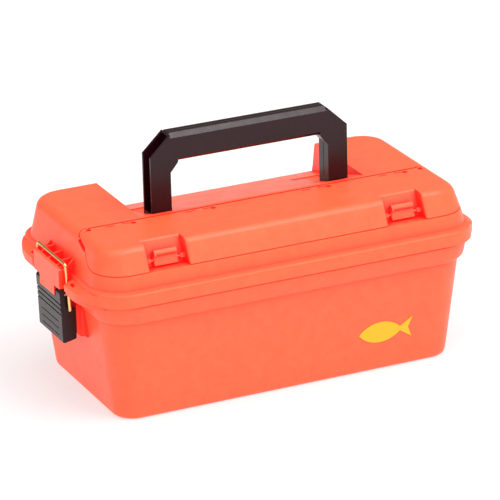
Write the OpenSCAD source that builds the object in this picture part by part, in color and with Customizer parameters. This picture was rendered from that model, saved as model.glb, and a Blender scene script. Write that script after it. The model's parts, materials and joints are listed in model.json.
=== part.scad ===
// Fishing tackle box: a moulded base, a lift-off lid with a top compartment and its own
// cover, a folding carry handle, two wire-bail latches and a lift-out tray.
// X runs along the box (+X right), +Y to the rear, +Z up. Origin: centre of the footprint.

/* [Base] */
// Length of the base at its bottom
base_l = 320; // [310:1:330]
// Width of the base at its bottom
base_w = 162; // [156:1:166]
// Length of the base wall where it meets the rim band
base_top_l = 342; // [338:1:344]
// Width of the base wall where it meets the rim band
base_top_w = 185; // [180:1:188]
// Height of the plain wall
wall_top_z = 93; // [90:1:95]
// Height of the rim face
rim_z = 111.3; // [110.5:0.1:112]
// Plastic wall thickness
wall = 2.5; // [2.2:0.1:2.8]

/* [Lid] */
// Length of the lid flange
flange_l = 361; // [359:1:362]
// Width of the lid flange
flange_w = 203; // [200:1:206]
// Height of the top of the lid
lid_top_z = 157; // [156:0.5:158]
// Half width of the handle recess between the two end blocks
recess_half = 107.6; // [104:0.2:110]
// Fall of the recess floor per millimetre to the rear
recess_fall = 0.28; // [0.27:0.01:0.3]

/* [Cover] */
// Height of the cover's lower edge
cover_z = 136.2; // [136:0.1:136.6]
// Cover skin thickness
cover_t = 2.4; // [2:0.1:2.6]
// Distance of the snap tabs from the middle
tab_x = 112.5; // [108:0.5:116]

/* [Handle] */
// Half width of the handle over its legs
handle_half = 94; // [93:0.5:95]
// Half width between the handle legs
handle_gap_half = 75.3; // [75:0.1:76]
// Depth of the handle, front to rear
handle_d = 18.4; // [17:0.2:18.6]
// Height of the grip's top face
handle_top_z = 225; // [220:1:228]

/* [Latch] */
// Half width of the latch lever
lever_half = 26.8; // [26:0.1:27]
// Wire diameter of the bail
bail_d = 2.8; // [2.4:0.1:3]

/* [Tray] */
// Height of the tray walls
tray_h = 23; // [18:1:23]
// Distance of the inner pair of dividers from the middle
divider_x = 56; // [40:1:60]

/* [Hidden] */

orange = "#ff6f47";
black = "#2b2524";
brass = "#c9a24b";
steel = "#b9bcc0";
white = "#ece7dc";
yellow = "#f4c320";
$fn = 48;

// Hinge of the top cover
hinge_y = -19.5;
hinge_z = 155;
hinge_r = 1.9;
hinge_half = 157;
hinge_stations = [-130.5, -55.5, 55.5, 130.5];
cover_pin_r = 0.8;
run = 0.05;

// Handle pivot, below the recess floor
recess_y = -14;
pivot_y = 1;
pivot_z = 146.8;
handle_pin_r = 2;
slot_in = handle_gap_half - 0.7;
slot_out = handle_half + 0.7;
slot_front = -10.4;
slot_rear = 53;
slot_floor_z = 137.6;

// Latch: outward distances are measured from the middle of the box
lever_pin = [184.3, 104];
lever_pin_r = 1.25;
bail_foot = [182.5, 90.7];
bail_top = [185, 133.3];
bail_r = bail_d / 2;
bail_half = 31.4;
bail_bend = 3;
foot_bend = 1.7;
keeper_half = 28.2;
keeper_face = 190.5;
wing_x = 189;
wing_in = 35;

// Bin under the cover
bin_half = 163.5;
bin_front = -72.5;
bin_rear = -16.2;
bin_floor_z = 112;
bin_wall_z = 137.4;

// Top edge of the lid: radii of its roundings along the front, the rear and the ends
round_front = 8;
round_rear = 5;
round_end = 10;
flange_t = 13;

// Points round a rounded rectangle at height z; every ring has the same number of points.
arc_n = 9;
function ring(z, l, w, r, yc = 0) = [for (c = [0:3]) for (i = [0:arc_n])
  let (a = 90 * c + 90 * i / arc_n, sx = (c == 0 || c == 3) ? 1 : -1, sy = c < 2 ? 1 : -1)
  [sx * (l / 2 - r) + r * cos(a), yc + sy * (w / 2 - r) + r * sin(a), z]];

// Skin through a list of rings [z, length, width, radius, y centre], closed at both ends.
module loft(rows) {
  n = 4 * (arc_n + 1);
  m = len(rows);
  pts = [for (q = rows) each ring(q[0], q[1], q[2], q[3], len(q) > 4 ? q[4] : 0)];
  sides = [for (k = [0:m - 2]) for (i = [0:n - 1]) let (j = (i + 1) % n)
    each [[k * n + i, (k + 1) * n + j, k * n + j], [k * n + i, (k + 1) * n + i, (k + 1) * n + j]]];
  caps = [[for (i = [0:n - 1]) i], [for (i = [n - 1:-1:0]) (m - 1) * n + i]];
  polyhedron(points = pts, faces = concat(sides, caps), convexity = 6);
}

// Outline in the YZ plane pushed along X between x0 and x1.
module yz_prism(outline, x0, x1) {
  translate([x0, 0, 0]) rotate([90, 0, 90]) linear_extrude(x1 - x0) polygon(outline);
}

// Outline given as [outward distance, z] on the left end, pushed along Y from -half to half.
module end_prism(outline, y0, y1) {
  translate([0, y1, 0]) rotate([90, 0, 0]) linear_extrude(y1 - y0)
    polygon([for (p = outline) [-p[0], p[1]]]);
}

module rod_x(x0, x1, y, z, r) {
  translate([x0, y, z]) rotate([0, 90, 0]) cylinder(h = x1 - x0, r = r);
}

module rod_y(x, y0, y1, z, r) {
  translate([x, y1, z]) rotate([90, 0, 0]) cylinder(h = y1 - y0, r = r);
}

// The wing beside one side of a latch, seen from above, on the left end
function wing_outline(grow) = [[-172, wing_in], [-(wing_x + grow - 1), wing_in],
  [-(wing_x + grow), wing_in + 1],
  for (a = [0:12:60]) [-(wing_x + grow - 30 + 30 * cos(a)), 50 + 41 * sin(a)], [-165, 86]];

module wings(z0, z1, grow) {
  for (s = [-1, 1]) for (t = [-1, 1]) scale([s, t, 1])
    translate([0, 0, z0]) linear_extrude(z1 - z0) polygon(wing_outline(grow));
}

// ---------------------------------------------------------------- base
groove_out_l = 349.6;
groove_in_l = 342.8;
groove_out_w = 194.6;
groove_in_w = 187.8;

module base_body() {
  ledge_z = 84;
  loft([
    [0, base_l - 10, base_w - 10, 15], [0.5, base_l - 6, base_w - 6, 17],
    [2, base_l - 2, base_w - 2, 19], [4.5, base_l, base_w, 20],
    [wall_top_z, base_top_l, base_top_w, 30],
    [wall_top_z + 1.6, base_top_l + 5, base_top_w + 6, 31.5],
    [wall_top_z + 4, base_top_l + 8.5, base_top_w + 10, 33],
    [rim_z - 1, base_top_l + 13.5, base_top_w + 15, 35],
    [rim_z, base_top_l + 12.5, base_top_w + 14, 34.5],
    [rim_z, groove_out_l, groove_out_w, 32], [rim_z - 2.2, groove_out_l, groove_out_w, 32],
    [rim_z - 2.2, groove_in_l, groove_in_w, 29], [rim_z, groove_in_l, groove_in_w, 29],
    [rim_z, base_top_l - 3.4, base_top_w - 2.4, 27],
    [ledge_z, base_top_l - 5.5, base_top_w - 4.5, 26.5],
    [ledge_z, base_top_l - 11.5, base_top_w - 11, 24],
    [ledge_z - 6, base_top_l - 8.7, base_top_w - 9, 25.5],
    [6, base_l - 4.6, base_w - 4.6, 18], [3.4, base_l - 7, base_w - 7, 16.5],
    [wall, base_l - 12, base_w - 12, 14]]);
}

// Pads, ribs and pivot lugs that carry the left latch
module latch_bracket() {
  pad = [[160, 62], [172.6, 64], [175.3, 67], [175.3, 93], [173, 95], [160, 95]];
  for (y = [-27.6, -10, 7.6, 25.4]) end_prism(pad, y, y + 2.4);
  end_prism([[172.8, 66], [175.3, 67], [175.3, 93], [172.8, 94]], -27, 27);
  end_prism([[160, 63], [169.4, 64.6], [172.4, 67.6], [172.4, 93], [170, 95], [160, 95]], -34, 34);
  c = lever_pin[0];
  lug = [[168, 96], [174, 92], [c - 4.4, 92], [c - 0.2, 100.2], [c + 2.6, 103.2], [c + 2.6, 105.2],
    [c + 1.2, 106.6], [c - 1.2, 106.6], [178, 103], [172, 106], [168, 106]];
  difference() {
    for (y = [-16.5, 10.5]) end_prism(lug, y, y + 6);
    rod_y(-lever_pin[0], -20, 20, lever_pin[1], lever_pin_r);
  }
}

module base_shell() color(orange) {
  base_body();
  difference() {
    wings(rim_z - 3, rim_z, -1.2);
    loft([for (z = [100, 120]) [z, groove_out_l + 1, groove_out_w + 1, 32.4]]);
  }
  difference() {
    for (s = [0, 180]) rotate([0, 0, s]) latch_bracket();
    loft([[1, base_l - 6, base_w - 6, 17], [wall_top_z, base_top_l - 2, base_top_w - 2, 29],
      [120, base_top_l + 4, base_top_w + 4, 32]]);
  }
  for (y = [-38, 38]) translate([-130, y - 1.2, wall - 0.2]) cube([260, 2.4, 2.2]);
  for (x = [-80, 0, 80]) translate([x - 1.2, -60, wall - 0.2]) cube([2.4, 120, 2.2]);
}

module seal_ring() color(white)
  difference() {
    loft([for (q = [[-2.1, 1], [-1, 0.4], [0.25, 1.6]])
      [rim_z + q[0], groove_out_l - q[1], groove_out_w - q[1], 32 - q[1] / 2]]);
    loft([for (q = [[-3, 1.2], [-1, 0.4], [0.25, 1.6], [1, 1.6]])
      [rim_z + q[0], groove_in_l + q[1], groove_in_w + q[1], 29 + q[1] / 2]]);
  }

// A plain fish shape standing a hair proud of the front wall
module front_emblem() color(yellow) {
  tilt = atan((base_top_w - base_w) / 2 / (wall_top_z - 4.5));
  z = 38;
  y = -base_w / 2 - (z - 4.5) * tan(tilt);
  translate([86, y, z]) rotate([90 + tilt, 0, 0]) linear_extrude(0.35) {
    intersection() {
      translate([0, -17]) circle(r = 27);
      translate([0, 17]) circle(r = 27);
    }
    polygon([[16, 0], [31, 10], [27, 0], [31, -10]]);
  }
}

module latch_pin(s) color(steel) rotate([0, 0, s])
  rod_y(-lever_pin[0], -26.6, 26.6, lever_pin[1], lever_pin_r);
module left_latch_pin() latch_pin(0);
module right_latch_pin() latch_pin(180);

// ---------------------------------------------------------------- lid
// Outer form of the lid above the flange; grow < 0 gives the skin's inner faces.
// Each side leans in, then rounds over into the flat top: apex is where the side would meet the
// top, lean is how far it comes in per millimetre, r the radius of the rounding.
function side(z, apex, lean, r) =
  let (flat = apex - r * tan(45 - atan(lean) / 2), rise = z - lid_top_z + r)
  rise > r * sin(atan(lean)) ? flat + sqrt(max(0, r * r - rise * rise)) : apex + lean * (lid_top_z - z);

function dome_row(z, g, top) =
  let (end = side(z, 168.4, 0.28, round_end), front = side(z, 78, 0.5, round_front),
    rear = side(z, 85.3, 0.2, round_rear), drop = top * min(1, max(0, (z - 146) / 8)))
  [z + drop, 2 * (end + g), front + rear + 2 * g, 27 + g - 0.32 * (z - 134), (rear - front) / 2];

function dome_rows(g, top) =
  [for (z = [134, 146, 149, 151, 152.8, 154.2, 155.4, 156.2, 156.8, lid_top_z]) dome_row(z, g, top)];

module lid_form() {
  loft(concat([
    [rim_z + 0.5, flange_l, flange_w, 32], [rim_z + 9.4, flange_l - 0.6, flange_w - 0.8, 32],
    [rim_z + 11.2, flange_l - 1.8, flange_w - 2.2, 31.4], [rim_z + 12.2, flange_l - 4.4, flange_w - 5, 30.4],
    [rim_z + 12.5, flange_l - 7, flange_w - 10, 29.6], [rim_z + flange_t, 354, 186, 29]],
    dome_rows(0, 0)));
}

module lid_hollow() {
  loft(concat([[100, 341, 180, 27], [rim_z + 4, 341, 180, 27], [rim_z + flange_t - 1, 347, 180.5, 27.5]],
    dome_rows(-wall, -wall)));
}

function floor_z(y) = lid_top_z - recess_fall * (y - recess_y);

// Everything above the sloping floor, t lower and t wider than the recess itself
module recess_space(t) {
  yz_prism([[recess_y - t, lid_top_z + 20], [recess_y - t, lid_top_z - t],
    [110, floor_z(110) - 1.04 * t], [110, lid_top_z + 20]], -recess_half - t, recess_half + t);
}

module handle_slot(t) {
  for (s = [-1, 1]) scale([s, 1, 1]) {
    translate([slot_in - t, slot_front - t, slot_floor_z - t])
      cube([slot_out - slot_in + 2 * t, slot_rear - slot_front + 2 * t, 40]);
    translate([slot_in - 8 - t, slot_rear - 11 - t, slot_floor_z - t]) cube([12, 11 + 2 * t, 40]);
  }
}

// Region the cover takes: down the front and round the ends, up to the hinge line
cover_edge = [[-24.4, 165], [-24.4, 153.2], [-41, 149], [-47, 142.5], [-52, 138.8],
  [-57, 136.8], [-63, cover_z - 0.4], [-110, cover_z - 0.4], [-110, 165]];

// Thin curve that carries the hinge line on round the corner, on the right end
curl_r = [11, 7.1];
function curl(t) = [for (a = [0:15:90])
  [hinge_half - 0.2 + (curl_r[0] + t) * sin(a), -24.4 + (curl_r[1] + t) * cos(a)]];

// Height of the keeper's sloping top, just below the bail's crossbar, at an outward distance o
keeper_slope = 24;
function keeper_z(o) =
  bail_top[1] - (bail_r + 0.25) / cos(keeper_slope) - (o - bail_top[0]) * tan(keeper_slope);

module latch_keeper() {
  back = keeper_face - 2.2;
  side_in = keeper_half - 2.4;
  difference() {
    end_prism([[183.2, keeper_z(183.2)], [keeper_face, keeper_z(keeper_face)], [keeper_face, 110.8],
      [184, 110.8]], -keeper_half, keeper_half);
    end_prism([[180, 140], [back, 140], [back, 100], [180, 100]], -side_in, side_in);
    for (t = [-1, 1]) scale([1, t, 1])
      yz_prism([[26.4, 129.2], [keeper_half, 127.4], [32, 127.4], [32, 140], [26.4, 140]], -200, -170);
  }
  end_prism([[back, 101.3], [keeper_face, 101.3], [keeper_face, 112], [back, 112]], -16.4, 16.4);
  // ribs behind the plate, level with the bail's crossbar where they pass under it
  for (y = [-20.4, -1.4, 15.2])
    end_prism([[168, 135], [183.2, 133.6], [183.2, keeper_z(183.2)], [back + 0.4, keeper_z(back + 0.4)],
      [back + 0.4, 114], [178, 112.4], [168, 112.4]], y, y + 1.8);
  // gussets that close both sides
  for (t = [-1, 1])
    end_prism([[168, 136], [176, 134.6], [183.2, 127.6], [186, 126.4], [186, 114], [178, 112.4],
      [168, 112.4]], t * 25.6 - 1.1, t * 25.6 + 1.1);
}

module lid_shell() color(orange) {
  difference() {
    union() {
      difference() {
        lid_form();
        yz_prism(cover_edge, -200, 200);
      }
      translate([-bin_half, bin_front, bin_floor_z])
        cube([2 * bin_half, bin_rear - bin_front, bin_wall_z - bin_floor_z]);
      difference() {
        wings(rim_z + 0.5, rim_z + 9.4, 0);
        for (s = [0, 180]) rotate([0, 0, s])
          end_prism([[180.4, 120.7], [190, 116.8], [190, 130], [180.4, 130]], -100, 100);
      }
      for (s = [0, 180]) rotate([0, 0, s]) latch_keeper();
    }
    // room under the lid, round the bin and below the recess floor
    difference() {
      lid_hollow();
      translate([-bin_half, bin_front, bin_floor_z]) cube([2 * bin_half, bin_rear - bin_front, 60]);
      translate([-200, -120, cover_z - 3]) cube([400, bin_rear + 120, 60]);
      recess_space(wall);
      handle_slot(wall);
    }
    // bin
    difference() {
      translate([-bin_half + wall, bin_front + wall, bin_floor_z + wall])
        cube([2 * (bin_half - wall), hinge_y - 0.4 - bin_front - wall, 60]);
      for (x = [-82, 0, 82]) translate([x - 1, bin_front, 100]) cube([2, 60, 40]);
    }
    recess_space(0);
    handle_slot(0);
    for (s = [-1, 1]) rod_x(s > 0 ? 60 : -110, s > 0 ? 110 : -60, pivot_y, pivot_z, handle_pin_r);
    // groove for the cover's hinge barrel
    rod_x(-hinge_half - 0.5, hinge_half + 0.5, hinge_y, hinge_z, hinge_r + 0.35);
    translate([-hinge_half - 0.5, -30, hinge_z]) cube([2 * hinge_half + 1, hinge_y + hinge_r + 30.3, 10]);
    for (s = [-1, 1]) scale([s, 1, 1]) {
      translate([0, 0, 150.6]) linear_extrude(10)
        polygon(concat(curl(0.9), [for (i = [6:-1:0]) curl(0)[i]]));
      yz_prism([[-27, 153.4], [-25.6, 150.2], [-36.6, 146.6], [-44, 146.2], [-41, 150.4]], 165, 180);
    }
    for (s = [-1, 1]) for (t = [-1, 1])
      translate([s * 184.4 - 1.4, t * 44 - 3.4, rim_z + 4]) cube([2.8, 6.8, 6]);
  }
  // knuckles
  for (x = hinge_stations) difference() {
    union() {
      rod_x(x - 4, x + 4, hinge_y, hinge_z, hinge_r);
      yz_prism([[hinge_y - 1, hinge_z - 4], [hinge_y - 1, hinge_z - 1.6], [hinge_y, hinge_z],
        [-16.5, hinge_z - 0.6], [-16.5, hinge_z - 4]], x - 4, x + 4);
    }
    rod_x(x - 5, x + 5, hinge_y, hinge_z, cover_pin_r);
  }
  // catches for the snap tabs
  for (s = [-1, 1]) yz_prism([[-76.6, cover_z - 2], [-76.6, 138], [-77.3, 138.6], [-77.3, 139.3],
    [-76.6, 140], [-75.4, 139.6], [-75.2, cover_z - 2]], s * tab_x - 8.6, s * tab_x + 8.6);
}

module cover_hinge_pins() color(brass)
  for (x = hinge_stations) rod_x(x - 12, x + 12, hinge_y, hinge_z, cover_pin_r);

module handle_pin(s) color(steel) {
  middle = s * (slot_in + slot_out) / 2;
  reach = (slot_out - slot_in) / 2 + wall;
  rod_x(middle - reach, middle + reach, pivot_y, pivot_z, handle_pin_r);
}
module left_handle_pin() handle_pin(-1);
module right_handle_pin() handle_pin(1);

// ---------------------------------------------------------------- cover
// Local frame of a snap tab: y = 0 on the cover's front face, z up the face
face_tilt = 27.5;
module on_face(x) translate([x, -83.6, 145.5]) rotate([-face_tilt, 0, 0]) children();

tab_pivot = [7.8, -0.6];
pocket_d = 10.2;

// Blocks that hold a snap tab's stub pins at both sides of its pocket
module tab_bosses()
  for (t = [-1, 1]) translate([t * 16.2 - 2.4, 6, -2.4]) cube([4.8, pocket_d - 5.8, 3.8]);

// A snap tab's pocket seen along the face, its mouth rounded by r at both sides
function pocket_outline(half, r) = [[-half, pocket_d], [-half, r],
  for (a = [0:30:90]) [-half - r + r * cos(a), r - r * sin(a)], [-half - r, -30], [half + r, -30],
  for (a = [90:-30:0]) [half + r - r * cos(a), r - r * sin(a)], [half, r], [half, pocket_d]];

// Rounds the edge between a pocket's back wall and the top of the cover by r
module pocket_brow(r) {
  centre = [pocket_d + r,
    (lid_top_z - r - 145.5 + (pocket_d + r) * sin(face_tilt)) / cos(face_tilt)];
  arc = [for (k = [0:5]) let (a = 180 - k * (90 - face_tilt) / 5) [cos(a), sin(a)]];
  yz_prism(concat([[pocket_d - 1, centre[1]]], [for (p = arc) centre + r * p],
    [centre + (r + 2) * arc[5], [pocket_d - 1, centre[1] + 8]]), -18.4, 18.4);
}

module top_cover() color(orange) {
  g = 0.35;
  seam = 0.7;
  difference() {
    union() {
      difference() {
        intersection() {
          lid_form();
          union() {
            translate([0, -g, seam]) yz_prism(cover_edge, -200, 200);
            translate([-hinge_half, -30, hinge_z - hinge_r]) cube([2 * hinge_half, hinge_y + 30, 10]);
          }
        }
        loft(concat([[120, 346, 176, 26.6, 0.25]], dome_rows(-cover_t, -cover_t)));
      }
      rod_x(-hinge_half, hinge_half, hinge_y, hinge_z, hinge_r);
      intersection() {
        lid_form();
        translate([0, -g, seam]) yz_prism(cover_edge, -200, 200);
        for (s = [-1, 1]) on_face(s * tab_x) translate([-20.4, 0, -40])
          cube([40.8, pocket_d + 2, 60]);
      }
      for (s = [-1, 1]) on_face(s * tab_x) tab_bosses();
      for (x = [-85, 0, 85])
        yz_prism([[-24, 155], [-60, 155], [-60, 151.5], [-26, 152.5]], x - 1, x + 1);
    }
    for (s = [-1, 1]) on_face(s * tab_x) {
      difference() {
        translate([0, 0, -40]) linear_extrude(80) polygon(pocket_outline(18.4, 1.8));
        tab_bosses();
      }
      translate([-11.6, 0, -40]) cube([23.2, 20, 39.2]);
      rod_x(-16.2, 16.2, tab_pivot[0], tab_pivot[1], 1.3 + run);
      pocket_brow(3);
    }
    for (x = hinge_stations) {
      rod_x(x - 12.7, x + 12.7, hinge_y, hinge_z, cover_pin_r + run);
      translate([x - 4.4, hinge_y - 3, hinge_z - 5]) cube([8.8, 8, 10]);
      translate([x - 13, hinge_y - 3.8, hinge_z - 3]) cube([25, 1.5, 8]);
      translate([x + 12.5, hinge_y - 4.2, hinge_z - 3]) cylinder(h = 8, r = 2.6);
    }
  }
}

module snap_tab(s) color(orange) on_face(s * tab_x) {
  translate([-10.8, 6.2, -5.6]) cube([21.6, 2, 11.4]);
  yz_prism([[3.6, 3.4], [3.2, 4.4], [3.6, 7], [5, 7.6], [8.2, 7.6], [8.2, 2.8], [4.4, 2.8]], -10.4, 10.4);
  translate([-10.4, 3.2, 2]) cube([1.6, 2, 2]);
  yz_prism([[8, -5.6], [8.9, -5], [8.9, -4.6], [8, -3.8]], -8.2, 8.2);
  for (t = [-1, 1]) {
    rod_x(t * 10 - 0.8, t * 10 + 0.8, tab_pivot[0], tab_pivot[1], 2);
    rod_x(t > 0 ? 10 : -15.8, t > 0 ? 15.8 : -10, tab_pivot[0], tab_pivot[1], 1.3);
  }
}
module left_snap_tab() snap_tab(-1);
module right_snap_tab() snap_tab(1);

// ---------------------------------------------------------------- handle
module handle_bar(half_d) {
  chamfer_x = 74;
  chamfer_z = 206;
  translate([0, half_d, 0]) rotate([90, 0, 0]) linear_extrude(2 * half_d) polygon([
    [-handle_half, pivot_z + 1], [-handle_half, chamfer_z], [-chamfer_x, handle_top_z],
    [chamfer_x, handle_top_z], [handle_half, chamfer_z], [handle_half, pivot_z + 1],
    [handle_gap_half, pivot_z + 1], [handle_gap_half, 190], [67.4, 199.5],
    [-67.4, 199.5], [-handle_gap_half, 190], [-handle_gap_half, pivot_z + 1]]);
}

module carry_handle() color(black) {
  channel_d = handle_d / 2 - 2.3;
  end_r = handle_d / 2 - pivot_y;
  difference() {
    union() {
      handle_bar(handle_d / 2);
      for (x = [-handle_half, handle_gap_half])
        rod_x(x, x + handle_half - handle_gap_half, pivot_y, pivot_z, end_r);
    }
    for (s = [-1, 1]) scale([s, 1, 1]) translate([0, channel_d, 0]) rotate([90, 0, 0])
      linear_extrude(2 * channel_d) polygon([[100, 154.5], [77.7, 154.5], [77.7, 190.8], [74.2, 194.8],
        [74.2, 220.6], [76.4, 223], [100, 223]]);
    for (s = [-1, 1]) translate([0, s * handle_d / 2, handle_top_z]) rotate([45, 0, 0])
      cube([150, 5.4, 5.4], center = true);
    for (s = [-1, 1]) translate([0, s * handle_d / 2, 199.5]) rotate([45, 0, 0])
      cube([136, 4.4, 4.4], center = true);
    for (y = [-2.2, 2.2]) translate([-73, y - 0.5, handle_top_z - 0.8]) cube([146, 1, 2]);
    for (s = [-1, 1]) translate([s * handle_gap_half - 0.5, -0.4, 158]) cube([1, 0.8, 31]);
    rod_x(-100, 100, pivot_y, pivot_z, handle_pin_r + run);
  }
}

// ---------------------------------------------------------------- latches
module latch_lever(s) color(black) rotate([0, 0, s])
  difference() {
    union() {
      difference() {
        end_prism([[188.2, 108.4], [189.8, 106], [189, 86.8], [188.4, 60.7], [186.6, 60], [176.2, 62.4],
          [175.8, 64], [175.8, 90], [180, 93], [180, 106], [182, 108.4]], -lever_half, lever_half);
        end_prism([[185.6, 120], [185.6, 63.4], [170, 65], [170, 120]],
          -lever_half + 2.4, lever_half - 2.4);
        end_prism([[192, 100.8], [192, 112], [170, 112], [170, 100.8]], -16.9, 16.9);
      }
      for (s = [0, 1]) mirror([0, s, 0]) {
        end_prism([[188.2, 108.4], [189, 107], [189, 94], [180, 94], [180, 106], [182, 108.4]], 17,
          lever_half);
        rod_y(-bail_foot[0], 20.5, lever_half, bail_foot[1], 3);
      }
      for (y = [-8, 6]) end_prism([[186, 90], [186, 62.8], [179, 64], [181, 88]], y, y + 2);
    }
    rod_y(-lever_pin[0], -30, 30, lever_pin[1], lever_pin_r + run);
    for (y = [-30, 21.8]) rod_y(-bail_foot[0], y, y + 8.2, bail_foot[1], bail_r + run);
    for (z = [95.7, 91, 86.2]) translate([-190.2, -30, z - 0.65]) cube([1.8, 60, 1.3]);
    for (z = [77.8, 71.4, 65.1]) translate([-189.6, -19, z - 0.45]) cube([1.5, 38, 0.9]);
  }
module left_latch_lever() latch_lever(0);
module right_latch_lever() latch_lever(180);

// Wire bail in its own plane: legs up from the feet, corner bends and the crossbar
module bail_wire(s) color(brass) rotate([0, 0, s]) {
  rise = bail_top - bail_foot;
  span = norm(rise);
  translate([-bail_foot[0], 0, bail_foot[1]]) rotate([0, -atan2(rise[0], rise[1]), 0]) {
    translate([0, bail_half - bail_bend, span]) rotate([90, 0, 0])
      cylinder(h = 2 * (bail_half - bail_bend), r = bail_r);
    for (t = [-1, 1]) scale([1, t, 1]) {
      translate([0, bail_half, foot_bend]) cylinder(h = span - foot_bend - bail_bend, r = bail_r);
      translate([0, bail_half - bail_bend, span - bail_bend]) rotate([90, 0, 90])
        rotate_extrude(angle = 90) translate([bail_bend, 0]) circle(r = bail_r);
      translate([0, bail_half - foot_bend, foot_bend]) rotate([0, 90, 0])
        rotate_extrude(angle = 90) translate([foot_bend, 0]) circle(r = bail_r);
      translate([0, bail_half - foot_bend, 0]) rotate([90, 0, 0])
        cylinder(h = bail_half - foot_bend - 22, r = bail_r);
    }
  }
}
module left_bail_wire() bail_wire(0);
module right_bail_wire() bail_wire(180);

// ---------------------------------------------------------------- tray
tray_z = 84.3;
tray_l = 335;
tray_w = 178.8;
row_y = 44;
row_outer_y = 85.3;
guide_gap = 1.1;

// Places of the dividers along the tray
function divider_place(i) = [-2, -1, 1, 2][i - 1] * divider_x;

module lift_out_tray() color(orange) {
  top = tray_z + tray_h;
  difference() {
    loft([[tray_z, tray_l - 2.4, tray_w - 2.4, 24.6], [tray_z + 1.4, tray_l, tray_w, 25.6],
      [top, tray_l + 1.6, tray_w + 1.6, 26.2],
      [top, tray_l - 2.8, tray_w - 2.8, 24], [tray_z + 4, tray_l - 4.4, tray_w - 4.4, 23.4],
      [tray_z + 2, tray_l - 8, tray_w - 8, 21.6]]);
    for (x = [-1, 1]) translate([x * 167.5 - 6, -17, top - 6]) cube([12, 34, 10]);
  }
  for (y = [-row_y, row_y]) translate([-165.6, y - 1, tray_z + 1]) cube([331.2, 2, tray_h - 3]);
  translate([-1, -row_y - 0.5, tray_z + 1]) cube([2, 2 * row_y + 1, tray_h - 3]);
  // guides that hold the removable dividers at both ends
  for (i = [1:4]) for (s = [0, 1]) mirror([0, s, 0]) for (t = [-1, 1])
    translate([divider_place(i) + t * (guide_gap + 0.8) - 0.8, 0, tray_z + 1.6]) {
      translate([0, row_y + 0.5, 0]) cube([1.6, 2, tray_h - 5.6]);
      translate([0, row_outer_y - 2, 0]) cube([1.6, 5, tray_h - 5.6]);
    }
}

// A pair of dividers, one in the front row and one in the rear row
module tray_divider(i) color(white)
  for (s = [0, 1]) mirror([0, s, 0])
    translate([divider_place(i) - 0.8, row_y + 1.3, tray_z + 2.3])
      cube([1.6, row_outer_y - row_y - 1.3, tray_h - 5.5]);
module tray_divider_1() tray_divider(1);
module tray_divider_2() tray_divider(2);
module tray_divider_3() tray_divider(3);
module tray_divider_4() tray_divider(4);

base_shell();
seal_ring();
front_emblem();
left_latch_pin();
right_latch_pin();
lid_shell();
cover_hinge_pins();
left_handle_pin();
right_handle_pin();
top_cover();
left_snap_tab();
right_snap_tab();
carry_handle();
left_latch_lever();
right_latch_lever();
left_bail_wire();
right_bail_wire();
lift_out_tray();
tray_divider_1();
tray_divider_2();
tray_divider_3();
tray_divider_4();
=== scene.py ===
"""Fishing tackle box: materials, edge rounding, fine detail, light and camera round the CAD frame."""

import json
import math

import bpy
from mathutils import Matrix, Vector

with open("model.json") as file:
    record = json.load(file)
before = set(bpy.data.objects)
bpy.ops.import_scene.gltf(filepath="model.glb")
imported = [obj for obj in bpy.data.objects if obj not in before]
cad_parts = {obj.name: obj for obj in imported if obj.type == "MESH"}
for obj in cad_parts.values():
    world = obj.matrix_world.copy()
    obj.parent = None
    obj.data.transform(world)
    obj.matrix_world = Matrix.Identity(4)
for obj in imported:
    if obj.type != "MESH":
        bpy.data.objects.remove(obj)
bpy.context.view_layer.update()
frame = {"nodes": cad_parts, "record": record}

MM = 0.001
WHITE = (1, 1, 1)

# ------------------------------------------------------------------ camera and light
CAMERA_AZIMUTH = math.radians(-24.56)
CAMERA_ELEVATION = math.radians(21.26)
CAMERA_ROLL = math.radians(-1.48)
CAMERA_DISTANCE = 3.2233
CAMERA_LENS = 264.16
CAMERA_SENSOR = 36
CAMERA_CLIP_NEAR = 0.1
CAMERA_CLIP_FAR = 50
CAMERA_TARGET = Vector((0.00184, 0, 0.1013))

# name: azimuth and elevation in degrees, distance and side in metres, power in watts
SOFTBOXES = {
    "key": (-62, 62, 1.8, 1.6, 7),
    "front": (30, 54, 1.9, 0.9, 15),
    "top": (60, 78, 1.9, 1.6, 14),
}
SOFTBOX_TARGET = Vector((0, 0, 0.1))
WORLD_IN_FRONT = 0.66
WORLD_BEHIND = 0.32
FLOOR_HALF = 6
FLOOR_GLOW_NEAR = 0.57
FLOOR_GLOW_FAR = 0.80


def direction(azimuth, elevation):
    """Unit vector away from the box; azimuth 0 is its front, and grows towards its right end."""
    flat = math.cos(elevation)
    return Vector((math.sin(azimuth) * flat, -math.cos(azimuth) * flat, math.sin(elevation)))


def make_camera():
    data = bpy.data.cameras.new("camera")
    data.lens = CAMERA_LENS
    data.sensor_width = CAMERA_SENSOR
    data.clip_start = CAMERA_CLIP_NEAR
    data.clip_end = CAMERA_CLIP_FAR
    camera = bpy.data.objects.new("camera", data)
    back = direction(CAMERA_AZIMUTH, CAMERA_ELEVATION)
    place = Matrix.Translation(CAMERA_TARGET + back * CAMERA_DISTANCE)
    turn = (-back).to_track_quat("-Z", "Y").to_matrix().to_4x4()
    camera.matrix_world = place @ turn @ Matrix.Rotation(CAMERA_ROLL, 4, "Z")
    bpy.context.scene.collection.objects.link(camera)
    bpy.context.scene.camera = camera


def make_softbox(name, azimuth, elevation, distance, side, power):
    """A square area light that looks at the middle of the box."""
    data = bpy.data.lights.new(name, "AREA")
    data.energy = power
    data.size = side
    data.color = WHITE
    lamp = bpy.data.objects.new(name, data)
    back = direction(math.radians(azimuth), math.radians(elevation))
    lamp.location = SOFTBOX_TARGET + back * distance
    lamp.rotation_mode = "QUATERNION"
    lamp.rotation_quaternion = (-back).to_track_quat("-Z", "Y")
    bpy.context.scene.collection.objects.link(lamp)


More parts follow.
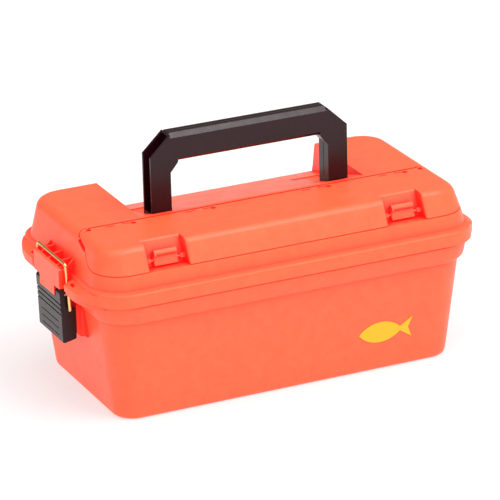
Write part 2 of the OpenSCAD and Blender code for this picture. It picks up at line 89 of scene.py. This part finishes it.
def make_world():
    """White surroundings, dimmer behind the box than in front of it."""
    world = bpy.data.worlds.new("studio")
    world.use_nodes = True
    tree = world.node_tree
    background = tree.nodes["Background"]
    background.inputs["Color"].default_value = (*WHITE, 1)
    coordinates = tree.nodes.new("ShaderNodeTexCoord")
    parts = tree.nodes.new("ShaderNodeSeparateXYZ")
    fall = tree.nodes.new("ShaderNodeMapRange")
    fall.interpolation_type = "SMOOTHSTEP"
    fall.inputs["From Min"].default_value = -0.3
    fall.inputs["From Max"].default_value = 0.8
    fall.inputs["To Min"].default_value = WORLD_IN_FRONT
    fall.inputs["To Max"].default_value = WORLD_BEHIND
    tree.links.new(coordinates.outputs["Generated"], parts.inputs["Vector"])
    tree.links.new(parts.outputs["Y"], fall.inputs["Value"])
    tree.links.new(fall.outputs["Result"], background.inputs["Strength"])
    bpy.context.scene.world = world


def make_floor():
    mesh = bpy.data.meshes.new("floor")
    corners = [(-FLOOR_HALF, -FLOOR_HALF, 0), (FLOOR_HALF, -FLOOR_HALF, 0),
               (FLOOR_HALF, FLOOR_HALF, 0), (-FLOOR_HALF, FLOOR_HALF, 0)]
    mesh.from_pydata(corners, [], [(0, 1, 2, 3)])
    mesh.materials.append(floor_material())
    floor = bpy.data.objects.new("floor", mesh)
    bpy.context.scene.collection.objects.link(floor)


def make_studio():
    bpy.context.scene.view_settings.view_transform = "Standard"
    make_world()
    for name, settings in SOFTBOXES.items():
        make_softbox(name, *settings)
    make_floor()


# ------------------------------------------------------------------ materials
class Nodes:
    """A material's node tree with short ways to add what every material here needs."""

    def __init__(self, name):
        self.material = bpy.data.materials.new(name)
        self.material.use_nodes = True
        self.tree = self.material.node_tree
        self.shader = self.tree.nodes["Principled BSDF"]
        self.place = self.add("ShaderNodeTexCoord").outputs["Object"]

    def add(self, kind, **settings):
        node = self.tree.nodes.new(kind)
        for key, value in settings.items():
            setattr(node, key, value)
        return node

    def link(self, output, socket):
        self.tree.links.new(output, socket)

    def drive(self, name, output):
        """Links an output to an input of the shader."""
        self.link(output, self.shader.inputs[name])

    def set(self, **values):
        """Sets inputs of the shader, with _ for each space in their names."""
        for key, value in values.items():
            self.shader.inputs[key.replace("_", " ")].default_value = value

    def noise(self, scale, detail=2, roughness=0.5):
        node = self.add("ShaderNodeTexNoise")
        node.inputs["Scale"].default_value = scale
        node.inputs["Detail"].default_value = detail
        node.inputs["Roughness"].default_value = roughness
        self.link(self.place, node.inputs["Vector"])
        return node.outputs["Fac"]

    def spread(self, value, low, high, start=0.3, end=0.7):
        """Maps a value from the range start to end, by default a noise's, to the range low to high."""
        node = self.add("ShaderNodeMapRange")
        node.inputs["From Min"].default_value = start
        node.inputs["From Max"].default_value = end
        node.inputs["To Min"].default_value = low
        node.inputs["To Max"].default_value = high
        self.link(value, node.inputs["Value"])
        return node.outputs["Result"]

    def blend(self, factor, first, second):
        """A colour between first and second, each of them a colour or an output."""
        node = self.add("ShaderNodeMix", data_type="RGBA")
        for name, colour in (("A", first), ("B", second)):
            if isinstance(colour, tuple):
                node.inputs[name].default_value = (*colour, 1)
            else:
                self.link(colour, node.inputs[name])
        self.link(factor, node.inputs["Factor"])
        return node.outputs["Result"]

    def colour(self, first, second, scale):
        """Base colour that drifts between two close colours."""
        drift = self.spread(self.noise(scale, 3), 0, 1)
        self.drive("Base Color", self.blend(drift, first, second))

    def roughness(self, low, high, scale, detail=3):
        """Roughness that drifts between low and high."""
        self.drive("Roughness", self.spread(self.noise(scale, detail), low, high))

    def openness_for_painted_shade(self, reach, low, high):
        """Mask for painted shade: 0 in gaps narrower than about reach metres, 1 on open faces and close
        above the ground.
        """
        gap = self.add("ShaderNodeAmbientOcclusion", samples=8)
        gap.inputs["Distance"].default_value = reach
        open_face = self.spread(gap.outputs["AO"], 0, 1, low, high)
        position = self.add("ShaderNodeNewGeometry").outputs["Position"]
        parts = self.add("ShaderNodeSeparateXYZ")
        self.link(position, parts.inputs["Vector"])
        near_ground = self.spread(parts.outputs["Z"], 1, 0, reach * 0.8, reach * 1.6)
        either = self.add("ShaderNodeMath", operation="MAXIMUM")
        self.link(open_face, either.inputs[0])
        self.link(near_ground, either.inputs[1])
        return either.outputs["Value"]

    def grain(self, layers):
        """Bump from noise layers (scale, height in metres), coarse to fine."""
        normal = None
        for scale, height in layers:
            bump = self.add("ShaderNodeBump")
            bump.inputs["Strength"].default_value = 1
            bump.inputs["Distance"].default_value = height
            self.link(self.noise(scale), bump.inputs["Height"])
            if normal:
                self.link(normal, bump.inputs["Normal"])
            normal = bump.outputs["Normal"]
        self.drive("Normal", normal)


def orange_plastic():
    """Satin polypropylene with a moulded grain; painted shade turns it pure red down in gaps, and a
    faint painted red glow keeps its red bright.
    """
    # Reach and colour of the painted shade in gaps, where shade falls
    painted_shade_reach = 0.020
    painted_gap_shade_red = (1.0, 0.010, 0.012)
    # Colour of a painted red glow that keeps the red bright in shade
    glow = (1.0, 0.03, 0.02, 1)
    m = Nodes("orange_plastic")
    mottle = m.spread(m.noise(90, 6, 0.78), 0, 1)
    faces = m.blend(mottle, (1.0, 0.122, 0.042), (1.0, 0.152, 0.056))
    # Painted shade: the base colour turns pure red in gaps and recesses, found by ambient occlusion
    m.drive("Base Color", m.blend(m.openness_for_painted_shade(painted_shade_reach, 0.42, 0.94), painted_gap_shade_red, faces))
    # The faint red emission is a painted glow; the plastic is no lamp
    m.set(IOR=1.49, Specular_IOR_Level=0.42, Emission_Color=glow, Emission_Strength=0.17)
    m.roughness(0.34, 0.42, 60)
    m.grain([(420, 0.00013), (1500, 0.00008)])
    return m.material


def black_plastic():
    """Dark satin plastic with a brown cast."""
    m = Nodes("black_plastic")
    m.colour((0.017, 0.0020, 0.004), (0.021, 0.0030, 0.005), 30)
    m.set(IOR=1.5, Specular_IOR_Level=0.32)
    m.roughness(0.22, 0.30, 90)
    m.grain([(700, 0.00003), (2400, 0.00002)])
    return m.material


def metal(name, first, second, roughness, scale):
    """Bare metal with faint marks; a larger scale makes them finer."""
    m = Nodes(name)
    m.colour(first, second, scale)
    m.set(Metallic=1.0)
    m.roughness(roughness - 0.05, roughness + 0.06, scale * 4)
    m.grain([(scale * 8, 0.00001)])
    return m.material


def plain_plastic(name, first, second, roughness):
    """Plastic or rubber with an even finish."""
    m = Nodes(name)
    m.colour(first, second, 25)
    m.roughness(roughness - 0.04, roughness + 0.04, 80, detail=2)
    m.grain([(900, 0.00002)])
    return m.material


def floor_material():
    """Glowing grey floor that reads as white; it glows more beyond the reach of the softboxes."""
    m = Nodes("studio_floor")
    m.colour((0.44, 0.44, 0.44), (0.46, 0.46, 0.46), 3)
    m.set(Roughness=0.9, Specular_IOR_Level=0.1, Emission_Color=(*WHITE, 1))
    away = m.add("ShaderNodeVectorMath", operation="LENGTH")
    m.link(m.place, away.inputs[0])
    glow = m.spread(away.outputs["Value"], FLOOR_GLOW_NEAR, FLOOR_GLOW_FAR, start=0.3, end=1.6)
    m.drive("Emission Strength", glow)
    return m.material


def slot_materials():
    """One material for each of the record's material slots."""
    return {
        "orange_plastic": orange_plastic(),
        "black_plastic": black_plastic(),
        "divider_plastic": plain_plastic("divider_plastic", (0.80, 0.79, 0.75), (0.84, 0.83, 0.79), 0.4),
        "emblem_yellow": plain_plastic("emblem_yellow", (0.98, 0.50, 0.0), (1.0, 0.54, 0.0), 0.3),
        "brass_wire": metal("brass_wire", (0.83, 0.58, 0.22), (0.90, 0.66, 0.28), 0.22, 200),
        "pin_steel": metal("pin_steel", (0.60, 0.60, 0.62), (0.66, 0.66, 0.67), 0.35, 300),
        "seal_rubber": plain_plastic("seal_rubber", (0.72, 0.69, 0.62), (0.77, 0.74, 0.67), 0.7),
    }


# ------------------------------------------------------------------ CAD nodes
WELD_REACH = 0.02 * MM
FLAT_WITHIN = math.radians(0.6)
EDGE_WIDTH = 0.45 * MM
EDGE_SEGMENTS = 2
EDGE_SHARPER_THAN = math.radians(32)
NORMALS_WEIGHT = 80


def finish_node(node, material):
    """Gives a CAD node its material and rounds its hard edges."""
    node.data.materials.clear()
    node.data.materials.append(material)
    weld = node.modifiers.new("weld", "WELD")
    weld.merge_threshold = WELD_REACH
    flat = node.modifiers.new("flat", "DECIMATE")
    flat.decimate_type = "DISSOLVE"
    flat.angle_limit = FLAT_WITHIN
    bevel = node.modifiers.new("bevel", "BEVEL")
    bevel.width = EDGE_WIDTH
    bevel.segments = EDGE_SEGMENTS
    bevel.limit_method = "ANGLE"
    bevel.angle_limit = EDGE_SHARPER_THAN
    bevel.use_clamp_overlap = True
    bevel.miter_outer = "MITER_ARC"
    normals = node.modifiers.new("normals", "WEIGHTED_NORMAL")
    normals.weight = NORMALS_WEIGHT
    for polygon in node.data.polygons:
        polygon.use_smooth = True


def finish_nodes():
    materials = slot_materials()
    for part in frame["record"]["subparts"]:
        finish_node(frame["nodes"][part["node"]], materials[part["material_slot"]])


make_camera()
make_studio()
finish_nodes()
